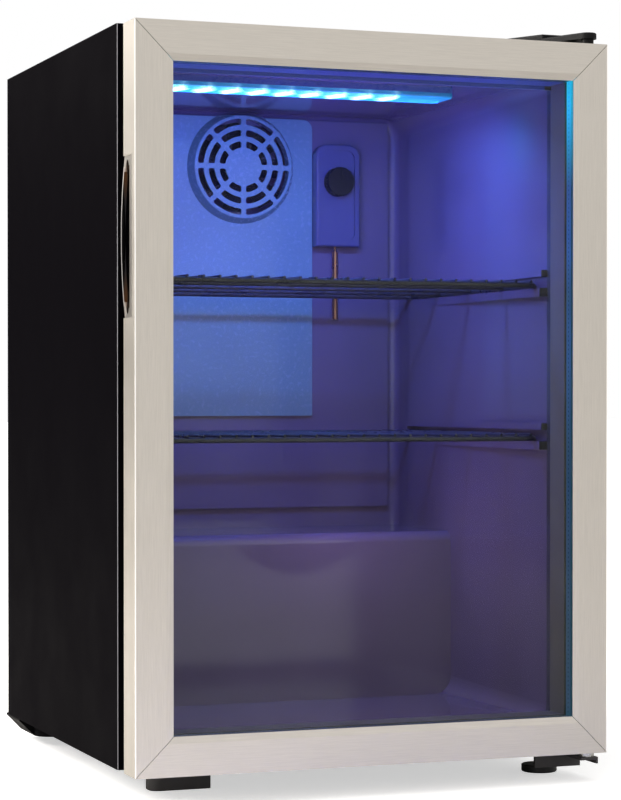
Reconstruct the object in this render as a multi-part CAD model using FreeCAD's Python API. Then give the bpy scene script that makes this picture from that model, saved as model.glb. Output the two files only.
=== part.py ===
import FreeCAD, Part
import math
import os

# Compact beverage fridge with a glass door, in millimetres.
# +Z is up, -Y is the front, +X is the hinge side. The origin lies on the
# floor, under the middle of the whole appliance.

V = FreeCAD.Vector
X_DIR = V(1, 0, 0)
Y_DIR = V(0, 1, 0)
Z_DIR = V(0, 0, 1)

# ---------------------------------------------------------------- dimensions
DEPTH = 500.0
FRONT_Y = -DEPTH / 2
REAR_Y = DEPTH / 2

# door
DOOR_HALF = 222.5
DOOR_BOTTOM = 27.0
DOOR_TOP = 668.0
SKIN = 1.2
FACE_WIDTH = 28.0
BEVEL_WIDTH = 6.2
BEVEL_SINK = 1.0
FLANGE_DEPTH = 33.7
MITRE_GAP = 0.3
OPENING_INSET = FACE_WIDTH + BEVEL_WIDTH
PANE_INSET = 28.5
PANE = 4.0
PANE_GAP = 9.0
SPACER_INSET = 33.8
FLANGE_Y = FRONT_Y + FLANGE_DEPTH
OUTER_PANE_Y = FRONT_Y + BEVEL_SINK + SKIN
SPACER_Y = OUTER_PANE_Y + PANE
INNER_PANE_Y = SPACER_Y + PANE_GAP
GLAZING_BACK_Y = INNER_PANE_Y + PANE
FRAME_BACK_Y = -203.0
FRAME_BACK_INSET = 6.5
GLAZING_PLAY = 0.3
GASKET_GAP = 0.3
GASKET_BASE = (12.0, 31.0)
GASKET_BELLOWS = (14.5, 28.5)
GASKET_NECK = (16.3, 26.7)

# pocket handles on both door edges
HANDLE_BOTTOM = 416.8
HANDLE_TOP = 554.8
HANDLE_FRONT_Y = FRONT_Y + 9.0
POCKET_FRONT_Y = FRONT_Y + 20.0
POCKET_DEPTH = 13.5
POCKET_FLOOR = 2.0
LIP_BULGE = 2.3
LIP_THICK = 2.0
LENS_HALF = 65.0

# cabinet
CABINET_HALF = 221.5
CABINET_FRONT = -193.2
CABINET_REAR = 208.0
CABINET_BOTTOM = 26.5
CABINET_TOP = 671.8
SHEET = 1.0
RETURN_WIDTH = 20.0

# inside of the liner
LINER_SKIN = 2.0
FRONT_FRAME_THICK = 4.0
LIP_HALF = 195.0
LIP_BOTTOM = 58.5
LIP_TOP = 632.3
LINER_FRONT = CABINET_FRONT + FRONT_FRAME_THICK
LINER_BACK = 153.0
LINER_HALF_FRONT = 195.0
LINER_HALF_BACK = 184.0
LINER_FLOOR = 51.0
LINER_CEILING = 641.0
CORNER_FRONT = 12.0
CORNER_BACK = 22.0
BACK_FILLET = 8.0
STEP_FRONT = 22.0
STEP_TOP = 215.0
STEP_FILLET = 10.0
BACK_PANEL_HALF = 172.0
BACK_PANEL_Y = 149.0
BACK_PANEL_BOTTOM = 235.0
BACK_PANEL_TOP = 636.0
RIM_REACH = 8.0
RIM_BELOW = 3.5
RIM_ABOVE = 12.0

# machine bay behind the step
BAY_FRONT = 47.0
BAY_TOP = 188.0

# evaporator recess behind the fan cover
RECESS_LEFT = -165.0
RECESS_RIGHT = 80.0
RECESS_BOTTOM = 340.0
RECESS_TOP = 628.0
RECESS_BACK = 173.0
COVER_LEFT = -BACK_PANEL_HALF
COVER_RIGHT = 86.0
COVER_BOTTOM = 330.0
COVER_THICK = 3.0
COVER_Y = BACK_PANEL_Y - COVER_THICK
EVAP_Y = 161.0
EVAP_LEFT = -135.0
EVAP_RIGHT = 55.0
EVAP_LOW = 365.0
EVAP_PITCH = 24.0
EVAP_PASSES = 6
EVAP_TUBE_R = 3.0

# fan and its grille
FAN_X = 7.5
FAN_Z = 584.5
BOSS_R = 52.5
BOSS_BASE_R = 58.0
BOSS_WALL = 2.5
BOSS_Y = 136.0
GRILLE_RINGS = [(19.5, 26.1), (31.2, 37.8), (42.8, 49.2)]
SLOT_ROUND = 2.0
SPOKES = 8
SPOKE_WIDTH = 5.0
BLADE_R = 46.0
BLADE_COUNT = 7
BLADE_PITCH = 28.0
HUB_R = 17.0
FAN_FRONT_Y = 140.5
FAN_DEPTH = 8.0
MOTOR_Y = 152.0
MOTOR_DEPTH = 15.0

# ceiling light
LED_LEFT = -151.0
LED_RIGHT = 131.0
LED_FRONT = -114.0
LED_REAR = -71.0
LED_ROUND = 5.0
LED_FIRST_X = -136.0
LED_PITCH = 26.0
LED_COUNT = 9
LED_BASE_THICK = 5.5
LED_COVER_DEPTH = 5.0
LED_WALL = 1.5

# control box
CONTROL_X = 111.0
CONTROL_HALF = 24.5
CONTROL_BOTTOM = 505.0
CONTROL_TOP = 611.0
CONTROL_CORNER = 13.0
CONTROL_Y = 135.0
CONTROL_WALL = 2.0
CONTROL_RIM = 6.0
DISH_DEPTH = 3.0
DISH_FLOOR_Y = CONTROL_Y + DISH_DEPTH
SWITCH_Y = DISH_FLOOR_Y + CONTROL_WALL + 0.5
KNOB_Z = 572.0
KNOB_R = 15.0
KNOB_DEPTH = 11.0
KNOB_SHAFT_R = 3.0
KNOB_FLUTES = 16
FLUTE_R = 1.6
SWITCH_HALF = 17.0
SWITCH_RISE = 16.0
SENSOR_Y = 145.0
BULB_BOTTOM = 430.0
BULB_TOP = 500.0
BULB_R = 3.0

# wire shelves
SHELF_LEVELS = {"upper_shelf": 453.0, "lower_shelf": 311.0}
SHELF_FRONT = -175.5
SHELF_BACK = 120.0
SHELF_HALF = 193.0
RIM_WIRE_R = 2.5
RIM_CORNER = 14.0
GRID_WIRE_R = 1.25
GRID_PITCH = 15.2
GRID_SIDE_COUNT = 12
WELD_SINK = 0.3
BRACE_WIRE_R = 2.0
BRACE_PLACES = [-100.0, -25.0, 50.0]
LEDGE_HALF = 187.0
LEDGE_FRONT = -183.0
LEDGE_BACK = 126.0
LEDGE_HEIGHT = 8.0
GROOVE_HALF = 194.5
GROOVE_ABOVE = 8.0
UPPER_RIB_HALF = 189.0
UPPER_RIB_HEIGHT = 6.0

# door hinge
HINGE_X = 212.0
HINGE_Y = -230.0
PIN_R = 4.0
PIN_PLAY = 0.05
PIN_GRIP = 16.0
BUSH_R = 7.0
BUSH_FLANGE_R = 9.0
BUSH_FLANGE = 0.8
BUSH_LENGTH = 20.0
COLLAR_R = 5.6
ARM_BOTTOM = 675.6
ARM_THICK = 3.0
ARM_SKIRT = 674.8
ARM_COVER_TOP = 680.3
COVER_TOP = 683.6
ARM_TIP_R = 8.2
ARM_REAR = -126.0
ARM_INNER_EDGE = [(158.0, -126.0), (166.0, -154.0), (187.5, -195.0)]
ARM_SCREWS = [(190.0, -142.0), (210.0, -142.0), (210.0, -172.0)]
ARM_CLEARANCE = 4.0
LUG_TOP = 21.6
LUG_THICK = 2.5
LUG_FRONT = -238.5
LUG_SIDE_X = 219.5
LUG_SIDE_BOTTOM = 15.6
PLATE_BOTTOM = 24.0
FLANGE_BOTTOM = 8.3
FLANGE_LEFT = 174.6
FLANGE_RIGHT = 220.8
FLANGE_REAR_Y = -197.0
FLANGE_THICK = 3.0
LUG_INNER_X = 202.0
LUG_SIDE_THICK = 2.0
PLATE_RIGHT = 220.0
PLATE_REAR = -145.0
PLATE_SCREW_X = 215.0
PLATE_SCREW_Y = [-188.0, -154.0]
WASHER_R = 6.8

# fasteners
SCREW_R = 2.0
SCREW_HEAD = 2.2
SCREW_HEAD_R = 4.0
REAR_SCREW_X = [-213.0, 213.0]
REAR_SCREW_Z = [210.0, 430.0, 655.0]
CAP_X = [-190.0, -210.0]
CAP_Y = -142.0

# feet
FOOT_X = 194.2
FOOT_Y = -168.2
FOOT_R = 16.5
FOOT_THICK = 7.0
STEM_R = 4.0
STEM_TOP = 46.0
LEFT_FOOT_X = (-180.6, -125.0)
LEFT_FOOT_Y = (-157.0, -141.0)
LEFT_FOOT_CORNER = 9.0
REAR_FOOT_X = 150.0
REAR_FOOT_Y = 200.0
REAR_FOOT_R = 12.0

# moulded tray under the machine bay
PAN_FLOOR = 9.0
PAN_SKIN = 1.7
PAN_REAR = 222.0
PAN_WIDE_FRONT = 149.0
PAN_WIDE_HALF = 220.0
PAN_FLOOR_HALF = 205.0
PAN_NARROW_HALF = 184.0
PAN_BEND = 24.4
PAN_TOP = 26.4
PAN_CORNER = 18.0
GLAND_X = -65.0
GLAND_Z = 38.0
GLAND_NECK_R = 8.0
GLAND_FLANGE_R = 10.5
GLAND_BORE_R = 4.2
TAB_HALF = 20.0
TAB_TOP = 52.0

# drain for melted frost
DRAIN_X = 60.0
DRAIN_Y = 166.0
DRAIN_END = 172.0
DRAIN_R = 5.0
DRAIN_BORE_R = 3.8
TRAY_X = (18.0, 128.0)
TRAY_Y = (82.0, 190.0)
TRAY_DEPTH = 16.0
TRAY_WALL = 2.0
TRAY_CORNER = 12.0

# compressor
COMP_X = 80.0
COMP_Y = 128.0
COMP_R = 58.0
COMP_BOTTOM = 30.0
COMP_TOP = 148.0
COMP_DOME = 26.0
COMP_FEET = [(-62.0, -50.0), (62.0, -50.0), (-62.0, 50.0), (62.0, 50.0)]
COMP_PLATE_BOTTOM = 22.0
COMP_PLATE_THICK = 3.0
COMP_PLATE_HALF_X = 76.0
COMP_PLATE_HALF_Y = 62.0
COMP_HOLE_R = 5.0
SEAM_BOTTOM = 84.0
SEAM_TOP = 88.0
RELAY_BOTTOM = 38.0
RELAY_TOP = 82.0
RELAY_HALF = 24.0

# condenser on the back
COND_Y = 232.0
COND_TUBE_R = 2.5
COND_HALF = 175.0
COND_LOW = 230.0
COND_PITCH = 50.0
COND_PASSES = 9
COND_WIRE_R = 0.8
COND_WIRE_HALF = 160.0
COND_WIRE_PITCH = 10.0
BRACKET_ROWS = [1, 7]
BRACKET_X = 168.0

# thin pipes between the compressor, condenser and evaporator
SUCTION_Z = 110.0
DRIER_X = -125.0
DRIER_Y = 190.0
DRIER_BOTTOM = 60.0
DRIER_TOP = 144.0
DRIER_R = 8.0
CAPILLARY_X = -160.0
CAPILLARY_Z = 165.0
CAPILLARY_R = 1.5
DISCHARGE_X = 205.0
RETURN_X = -195.0


# ------------------------------------------------------------------- helpers
def box(x0, x1, y0, y1, z0, z1):
    return Part.makeBox(x1 - x0, y1 - y0, z1 - z0, V(x0, y0, z0))


def rod_x(y, z, x0, x1, r):
    return Part.makeCylinder(r, x1 - x0, V(x0, y, z), X_DIR)


def rod_y(x, z, y0, y1, r):
    return Part.makeCylinder(r, y1 - y0, V(x, y0, z), Y_DIR)


def rod_z(x, y, z0, z1, r):
    return Part.makeCylinder(r, z1 - z0, V(x, y, z0), Z_DIR)


def prism(points, sweep):
    """Solid made by moving a closed outline along a vector."""
    outline = Part.makePolygon(points + [points[0]])
    return Part.Face(outline).extrude(sweep)


def fuse_all(shapes):
    return shapes[0].multiFuse(shapes[1:]).removeSplitter()


def cut_all(shape, tools):
    for tool in tools:
        shape = shape.cut(tool)
    return shape


def mirrored(shape):
    """Copy on the other side of the YZ plane."""
    return shape.mirror(V(0, 0, 0), X_DIR)


def both_sides(shape):
    return Part.makeCompound([shape, mirrored(shape)])


def door_block(inset, y0, y1):
    """Block with the door's outline, drawn in by an inset on all four edges."""
    half = DOOR_HALF - inset
    return box(-half, half, y0, y1, DOOR_BOTTOM + inset, DOOR_TOP - inset)


def door_ring(outer_inset, inner_inset, y0, y1):
    hole = door_block(inner_inset, y0 - 1, y1 + 1)
    return door_block(outer_inset, y0, y1).cut(hole)


def rounded_rectangle(half, z0, z1, y, r):
    """Closed wire in an XZ plane with round corners."""
    k = r * (1 - math.sqrt(0.5))
    corners = []
    edges = []
    for sx, sz in ((1, 1), (-1, 1), (-1, -1), (1, -1)):
        x = sx * half
        z = z1 if sz > 0 else z0
        along_x = V(x - sx * r, y, z)
        along_z = V(x, y, z - sz * r)
        middle = V(x - sx * k, y, z - sz * k)
        first, last = (along_z, along_x) if sx * sz > 0 else (along_x, along_z)
        corners.append((first, middle, last))
    for i, (first, middle, last) in enumerate(corners):
        edges.append(Part.Arc(first, middle, last).toShape())
        following = corners[(i + 1) % 4][0]
        edges.append(Part.LineSegment(last, following).toShape())
    return Part.Wire(edges)


def bent_path(points, radius):
    """Straight runs joined by tangent arcs of one radius."""
    edges = []
    start = points[0]
    for before, corner, after in zip(points, points[1:], points[2:]):
        back = (before - corner).normalize()
        ahead = (after - corner).normalize()
        half_angle = back.getAngle(ahead) / 2
        reach = radius / math.tan(half_angle)
        arc_start = corner + back * reach
        arc_end = corner + ahead * reach
        toward = (back + ahead).normalize()
        middle = corner + toward * (radius / math.sin(half_angle) - radius)
        if (arc_start - start).Length > 1e-4:
            edges.append(Part.LineSegment(start, arc_start).toShape())
        edges.append(Part.Arc(arc_start, middle, arc_end).toShape())
        start = arc_end
    if (points[-1] - start).Length > 1e-4:
        edges.append(Part.LineSegment(start, points[-1]).toShape())
    return Part.Wire(edges)


def bent_tube(points, tube_r, bend_r):
    path = bent_path(points, bend_r)
    heading = (points[1] - points[0]).normalize()
    section = Part.Wire(Part.makeCircle(tube_r, points[0], heading))
    return path.makePipeShell([section], True, True)


def serpentine(half_left, half_right, y, z_low, pitch, passes):
    """Corner points of a tube that runs to and fro in an XZ plane."""
    points = []
    bend = pitch / 2
    for i in range(passes):
        z = z_low + i * pitch
        ends = [half_left, half_right] if i % 2 == 0 else [half_right, half_left]
        first = ends[0] if i == 0 else ends[0] + math.copysign(bend, ends[0] - ends[1])
        last = ends[1] if i == passes - 1 else ends[1] + math.copysign(bend, ends[1] - ends[0])
        points.append(V(first, y, z))
        points.append(V(last, y, z))
    return points


# -------------------------------------------------------------- door profile
def stile_section(z):
    """Outline of the steel skin at the left edge of the door."""
    x = -DOOR_HALF
    y = FRONT_Y
    flat = x + FACE_WIDTH
    tip = x + OPENING_INSET
    return [
        V(x, y, z),
        V(flat, y, z),
        V(tip, y + BEVEL_SINK, z),
        V(tip, y + BEVEL_SINK + SKIN, z),
        V(flat, y + SKIN, z),
        V(x + SKIN, y + SKIN, z),
        V(x + SKIN, y + FLANGE_DEPTH, z),
        V(x, y + FLANGE_DEPTH, z),
    ]


def rail_section(x):
    """The same outline turned to lie along the bottom edge of the door."""
    shift = DOOR_BOTTOM + DOOR_HALF
    return [V(x, p.y, p.x + shift) for p in stile_section(0)]


def make_left_stile():
    reach = OPENING_INSET + 5
    skin = prism(stile_section(DOOR_BOTTOM), V(0, 0, DOOR_TOP - DOOR_BOTTOM))
    x = -DOOR_HALF - 1
    low = DOOR_BOTTOM - 1 + MITRE_GAP
    high = DOOR_TOP + 1 - MITRE_GAP
    mitre = [
        V(x, FRONT_Y - 1, low),
        V(x + reach, FRONT_Y - 1, low + reach),
        V(x + reach, FRONT_Y - 1, high - reach),
        V(x, FRONT_Y - 1, high),
    ]
    skin = skin.common(prism(mitre, V(0, FLANGE_DEPTH + 2, 0)))
    slot = box(-DOOR_HALF - 1, -DOOR_HALF + SKIN, HANDLE_FRONT_Y, FLANGE_Y + 1,
               HANDLE_BOTTOM, HANDLE_TOP)
    return skin.cut(slot)


def make_bottom_rail():
    reach = OPENING_INSET + 5
    skin = prism(rail_section(-DOOR_HALF), V(2 * DOOR_HALF, 0, 0))
    x = DOOR_HALF + 1 - MITRE_GAP
    z = DOOR_BOTTOM - 1
    mitre = [
        V(-x, FRONT_Y - 1, z),
        V(x, FRONT_Y - 1, z),
        V(x - reach, FRONT_Y - 1, z + reach),
        V(-x + reach, FRONT_Y - 1, z + reach),
    ]
    skin = skin.common(prism(mitre, V(0, FLANGE_DEPTH + 2, 0)))
    hole = rod_z(HINGE_X, HINGE_Y, DOOR_BOTTOM - 1, DOOR_BOTTOM + SKIN + 1, BUSH_R)
    return cut_all(skin, [hole, mirrored(hole)])


def flipped(shape):
    """Copy turned upside down about the middle of the door."""
    return shape.mirror(V(0, 0, (DOOR_BOTTOM + DOOR_TOP) / 2), Z_DIR)


# ---------------------------------------------------------------------- door
def make_handle_pocket():
    """Pocket in the left edge of the door, with a bowed grip lip behind it."""
    outer = -DOOR_HALF
    seat = outer + SKIN
    body = box(seat, outer + POCKET_DEPTH + POCKET_FLOOR, HANDLE_FRONT_Y, FLANGE_Y,
               HANDLE_BOTTOM, HANDLE_TOP)
    middle_z = (HANDLE_BOTTOM + HANDLE_TOP) / 2
    half_span = (HANDLE_TOP - HANDLE_BOTTOM) / 2
    rise = LIP_BULGE + SKIN
    bow_r = (half_span ** 2 + rise ** 2) / (2 * rise)
    bow = rod_y(seat - rise + bow_r, middle_z, FLANGE_Y - LIP_THICK, FLANGE_Y, bow_r)
    keep = box(outer - LIP_BULGE - 1, seat + 1, FLANGE_Y - LIP_THICK, FLANGE_Y,
               HANDLE_BOTTOM, HANDLE_TOP)
    body = body.fuse(bow.common(keep))
    lens_width = FLANGE_Y - LIP_THICK - POCKET_FRONT_Y
    lens_r = (LENS_HALF ** 2 + lens_width ** 2) / (2 * lens_width)
    lens = Part.makeCylinder(lens_r, POCKET_DEPTH + 3,
                             V(outer - 3, FLANGE_Y - LIP_THICK - lens_r, middle_z), X_DIR)
    limit = box(outer - 3, outer + POCKET_DEPTH, POCKET_FRONT_Y, FLANGE_Y - LIP_THICK,
                HANDLE_BOTTOM, HANDLE_TOP)
    return body.cut(lens.common(limit)).removeSplitter()


def make_inner_frame():
    rebate = PANE_INSET - GLAZING_PLAY
    core = door_ring(SKIN, rebate, OUTER_PANE_Y + 0.2, FLANGE_Y)
    sill = door_ring(rebate, SPACER_INSET, GLAZING_BACK_Y, FLANGE_Y)
    back = door_ring(FRAME_BACK_INSET, SPACER_INSET, FLANGE_Y, FRAME_BACK_Y)
    frame = fuse_all([core, sill, back])
    socket = rod_z(HINGE_X, HINGE_Y, DOOR_TOP - BUSH_LENGTH, DOOR_TOP + 1, BUSH_R)
    sockets = [socket, mirrored(socket), flipped(socket), flipped(mirrored(socket))]
    pocket = box(-DOOR_HALF, -DOOR_HALF + POCKET_DEPTH + POCKET_FLOOR, HANDLE_FRONT_Y,
                 FLANGE_Y, HANDLE_BOTTOM, HANDLE_TOP)
    return cut_all(frame, sockets + [pocket, mirrored(pocket)])


def make_gasket():
    """Sealing ring with a flat base, a narrow neck and a wide bellows."""
    front = FRAME_BACK_Y + 2
    base = door_ring(*GASKET_BASE, FRAME_BACK_Y, front)
    bellows = door_ring(*GASKET_BELLOWS, front, CABINET_FRONT - GASKET_GAP)
    groove = door_ring(GASKET_BASE[0] - 2, GASKET_NECK[0], front + 2, front + 4)
    inner_groove = door_ring(GASKET_NECK[1], GASKET_BASE[1] + 1, front + 2, front + 4)
    return cut_all(base.fuse(bellows), [groove, inner_groove]).removeSplitter()


def make_bush(z_sign):
    """Flanged bush in the top edge of the door, or in the bottom edge."""
    bore = PIN_R + PIN_PLAY
    body = rod_z(HINGE_X, HINGE_Y, DOOR_TOP - BUSH_LENGTH, DOOR_TOP, BUSH_R)
    flange = rod_z(HINGE_X, HINGE_Y, DOOR_TOP, DOOR_TOP + BUSH_FLANGE, BUSH_FLANGE_R)
    hole = rod_z(HINGE_X, HINGE_Y, DOOR_TOP - BUSH_LENGTH + 2, DOOR_TOP + 2, bore)
    bush = body.fuse(flange).cut(hole)
    return bush if z_sign > 0 else flipped(bush)


def make_door_plugs():
    plug = rod_z(-HINGE_X, HINGE_Y, DOOR_TOP - BUSH_LENGTH, DOOR_TOP, BUSH_R)
    return Part.makeCompound([plug, flipped(plug)])


# ------------------------------------------------------------------- cabinet
def make_shell():
    half = CABINET_HALF
    block = box(-half, half, CABINET_FRONT, CABINET_REAR, CABINET_BOTTOM, CABINET_TOP)
    front_edges = []
    for edge in block.Edges:
        bounds = edge.BoundBox
        at_front = bounds.YMax < CABINET_FRONT + 0.01
        at_bottom = bounds.ZMax < CABINET_BOTTOM + 0.01
        if at_front and not at_bottom:
            front_edges.append(edge)
    block = block.makeFillet(1.5, front_edges)
    hollow = box(-half + SHEET, half - SHEET, CABINET_FRONT + SHEET, CABINET_REAR + 1,
                 CABINET_BOTTOM - 1, CABINET_TOP - SHEET)
    opening = box(-half + RETURN_WIDTH, half - RETURN_WIDTH, CABINET_FRONT - 1,
                  CABINET_FRONT + 2, CABINET_BOTTOM + RETURN_WIDTH,
                  CABINET_TOP - RETURN_WIDTH)
    return cut_all(block, [hollow, opening])


def make_rear_panel():
    half = CABINET_HALF - SHEET
    return box(-half, half, CABINET_REAR - SHEET, CABINET_REAR, BAY_TOP, CABINET_TOP - SHEET)


def make_bottom_panel():
    """Stepped sheet: cabinet floor, bay riser and bay ceiling."""
    half = CABINET_HALF - SHEET
    front = CABINET_FRONT + SHEET
    rear = CABINET_REAR - SHEET
    low = CABINET_BOTTOM
    outline = [
        V(-half, front, low),
        V(-half, BAY_FRONT, low),
        V(-half, BAY_FRONT, BAY_TOP),
        V(-half, rear, BAY_TOP),
        V(-half, rear, BAY_TOP + SHEET),
        V(-half, BAY_FRONT - SHEET, BAY_TOP + SHEET),
        V(-half, BAY_FRONT - SHEET, low + SHEET),
        V(-half, front, low + SHEET),
    ]
    return prism(outline, V(2 * half, 0, 0))


def make_front_frame():
    half = CABINET_HALF - RETURN_WIDTH
    plate = box(-half, half, CABINET_FRONT, LINER_FRONT, CABINET_BOTTOM + RETURN_WIDTH,
                CABINET_TOP - RETURN_WIDTH)
    hole = box(-LIP_HALF, LIP_HALF, CABINET_FRONT - 1, LINER_FRONT + 1, LIP_BOTTOM, LIP_TOP)
    return plate.cut(hole)


def liner_form(skin):
    """Inside of the liner, or its outside when a skin thickness is given."""
    front = rounded_rectangle(LINER_HALF_FRONT + skin, LINER_FLOOR - skin,
                              LINER_CEILING + skin, LINER_FRONT, CORNER_FRONT + skin)
    back = rounded_rectangle(LINER_HALF_BACK + skin, LINER_FLOOR - skin,
                             LINER_CEILING + skin, LINER_BACK + skin, CORNER_BACK + skin)
    form = Part.makeLoft([front, back], True, True)
    back_edges = [e for e in form.Edges if e.BoundBox.YMin > LINER_BACK + skin - 0.01]
    form = form.makeFillet(BACK_FILLET + skin, back_edges)
    step = box(-230, 230, STEP_FRONT + skin, LINER_BACK + 30, 0, STEP_TOP - skin)
    step_edges = []
    for edge in step.Edges:
        bounds = edge.BoundBox
        along_x = bounds.XLength > 400
        if along_x and bounds.YMax < STEP_FRONT + 5 and bounds.ZMin > STEP_TOP - 5:
            step_edges.append(edge)
    step = step.makeFillet(STEP_FILLET - skin, step_edges)
    return form.cut(step)


def shelf_grooves(skin):
    grooves = []
    for level in SHELF_LEVELS.values():
        half = GROOVE_HALF + skin
        grooves.append(box(-half, half, LINER_FRONT, LEDGE_BACK + 2 + skin,
                           level - RIM_WIRE_R - skin, level + GROOVE_ABOVE + skin))
    return grooves


def shelf_ribs():
    """Ledges that carry the shelves and the ribs that stop them tipping."""
    ribs = []
    for level in SHELF_LEVELS.values():
        top = level - RIM_WIRE_R
        ledge = box(LEDGE_HALF, GROOVE_HALF + 1, LEDGE_FRONT, LEDGE_BACK, top - LEDGE_HEIGHT, top)
        rib_low = level + GROOVE_ABOVE
        rib = box(UPPER_RIB_HALF, GROOVE_HALF + 1, LEDGE_FRONT, LEDGE_BACK,
                  rib_low, rib_low + UPPER_RIB_HEIGHT)
        for piece in (ledge, rib):
            ribs.append(piece)
            ribs.append(mirrored(piece))
    return ribs


def recess_block(skin):
    return box(RECESS_LEFT - skin, RECESS_RIGHT + skin, BACK_PANEL_Y - 1,
               RECESS_BACK + skin, RECESS_BOTTOM - skin, RECESS_TOP + skin)


def liner_rim():
    """Flat rim that carries the liner behind the front frame."""
    half = LINER_HALF_FRONT + RIM_REACH
    return box(-half, half, LINER_FRONT, LINER_FRONT + LINER_SKIN,
               LINER_FLOOR - RIM_BELOW, LINER_CEILING + RIM_ABOVE)


def liner_outside():
    return fuse_all([liner_form(LINER_SKIN), recess_block(LINER_SKIN)]
                    + shelf_grooves(LINER_SKIN))


def make_liner(outside, holes):
    inside = fuse_all([liner_form(0)] + shelf_grooves(0))
    raised = box(-BACK_PANEL_HALF, BACK_PANEL_HALF, BACK_PANEL_Y, LINER_BACK + 1,
                 BACK_PANEL_BOTTOM, BACK_PANEL_TOP)
    inside = cut_all(inside, [raised] + shelf_ribs())
    inside = inside.fuse(recess_block(0))
    liner = outside.fuse(liner_rim()).cut(inside)
    return cut_all(liner, holes)


def make_foam(outside, holes):
    half = CABINET_HALF - SHEET
    front = CABINET_FRONT + SHEET
    rear = CABINET_REAR - SHEET
    low = CABINET_BOTTOM + SHEET
    top = CABINET_TOP - SHEET
    outline = [
        V(-half, front, low),
        V(-half, BAY_FRONT - SHEET, low),
        V(-half, BAY_FRONT - SHEET, BAY_TOP + SHEET),
        V(-half, rear, BAY_TOP + SHEET),
        V(-half, rear, top),
        V(-half, front, top),
    ]
    block = prism(outline, V(2 * half, 0, 0))
    frame_half = CABINET_HALF - RETURN_WIDTH
    frame_space = box(-frame_half, frame_half, front - 1, LINER_FRONT,
                      CABINET_BOTTOM + RETURN_WIDTH, CABINET_TOP - RETURN_WIDTH)
    return cut_all(block, [frame_space, liner_rim(), outside] + holes)


def pan_block(inset, top):
    """Solid form of the tray: a wide rear part and a narrower front part."""
    floor = PAN_FLOOR + inset
    side = PAN_WIDE_HALF - 3 * inset
    low_side = PAN_FLOOR_HALF - inset
    outline = [(-side, top), (-side, PAN_BEND), (-low_side, floor),
               (low_side, floor), (side, PAN_BEND), (side, top)]
    front = PAN_WIDE_FRONT + inset
    wide = prism([V(x, front, z) for x, z in outline], V(0, PAN_REAR - inset - front, 0))
    round_x = PAN_CORNER - PAN_FLOOR_HALF
    notch = box(-PAN_WIDE_HALF - 10, round_x, front - 1, front + PAN_CORNER, 0, top + 1)
    rounding = rod_z(round_x, front + PAN_CORNER, -1, top + 2, PAN_CORNER)
    corner = notch.cut(rounding)
    wide = cut_all(wide, [corner, mirrored(corner)])
    narrow = box(-PAN_NARROW_HALF + inset, PAN_NARROW_HALF - inset, BAY_FRONT + inset,
                 PAN_REAR - inset, floor, top)
    return wide.fuse(narrow).removeSplitter()


def make_base_pan():
    """Moulded tray under the machine bay, with the tab that holds the cord gland."""
    pan = pan_block(0, PAN_TOP).cut(pan_block(PAN_SKIN, PAN_TOP + 3.6))
    tab = box(GLAND_X - TAB_HALF, GLAND_X + TAB_HALF, PAN_REAR - PAN_SKIN, PAN_REAR,
              PAN_TOP - 6.4, TAB_TOP)
    gland_hole = rod_y(GLAND_X, GLAND_Z, PAN_REAR - 5, PAN_REAR + 5, GLAND_NECK_R)
    return pan.fuse(tab).cut(gland_hole).removeSplitter()


def make_cord_gland():
    inner_y = PAN_REAR - PAN_SKIN
    neck = rod_y(GLAND_X, GLAND_Z, inner_y, PAN_REAR, GLAND_NECK_R)
    inside = rod_y(GLAND_X, GLAND_Z, inner_y - 2, inner_y, GLAND_FLANGE_R)
    outside = rod_y(GLAND_X, GLAND_Z, PAN_REAR, PAN_REAR + 4, GLAND_FLANGE_R)
    bore = rod_y(GLAND_X, GLAND_Z, PAN_REAR - 8, PAN_REAR + 8, GLAND_BORE_R)
    return fuse_all([neck, inside, outside]).cut(bore)


# --------------------------------------------------------------------- light
def led_block(inset, z0, z1):
    """Bar of the ceiling light with rounded ends, shrunk by the inset."""
    block = box(LED_LEFT + inset, LED_RIGHT - inset, LED_FRONT + inset, LED_REAR - inset, z0, z1)
    upright = [e for e in block.Edges if e.BoundBox.ZLength > (z1 - z0) / 2]
    return block.makeFillet(LED_ROUND - inset, upright)


def make_led_base():
    return led_block(0, LINER_CEILING - LED_BASE_THICK, LINER_CEILING)


def make_led_strip():
    top = LINER_CEILING - LED_BASE_THICK
    middle = (LED_FRONT + LED_REAR) / 2
    pieces = [box(LED_LEFT + 6, LED_RIGHT - 6, middle - 6, middle + 6, top - 1.4, top)]
    for i in range(LED_COUNT):
        x = LED_FIRST_X + i * LED_PITCH
        pieces.append(box(x - 2.5, x + 2.5, middle - 2.5, middle + 2.5, top - 3.0, top - 1.4))
    return fuse_all(pieces)


def make_led_cover():
    top = LINER_CEILING - LED_BASE_THICK
    low = top - LED_COVER_DEPTH
    block = led_block(0, low, top)
    bottom_edges = [e for e in block.Edges if e.BoundBox.ZMax < low + 0.01]
    block = block.makeFillet(2.5, bottom_edges)
    return block.cut(led_block(LED_WALL, low + LED_WALL, top + 1))


# ------------------------------------------------------------ air and control
def grille_slots():
    slots = []
    y0 = BOSS_Y - 1
    depth = BOSS_WALL + 2
    for inner_r, outer_r in GRILLE_RINGS:
        centre = V(FAN_X, y0, FAN_Z)
        outer = Part.makeCylinder(outer_r, depth, centre, Y_DIR)
        ring = outer.cut(Part.makeCylinder(inner_r, depth, centre, Y_DIR))
        for i in range(SPOKES // 2):
            bar = box(FAN_X - BOSS_R, FAN_X + BOSS_R, y0, y0 + depth,
                      FAN_Z - SPOKE_WIDTH / 2, FAN_Z + SPOKE_WIDTH / 2)
            bar.rotate(centre, Y_DIR, i * 360.0 / SPOKES)
            ring = ring.cut(bar)
        ends = [e for e in ring.Edges
                if e.BoundBox.YLength > depth / 2 and e.BoundBox.DiagonalLength < depth + 0.5]
        slots.append(ring.makeFillet(SLOT_ROUND, ends))
    return slots


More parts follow.
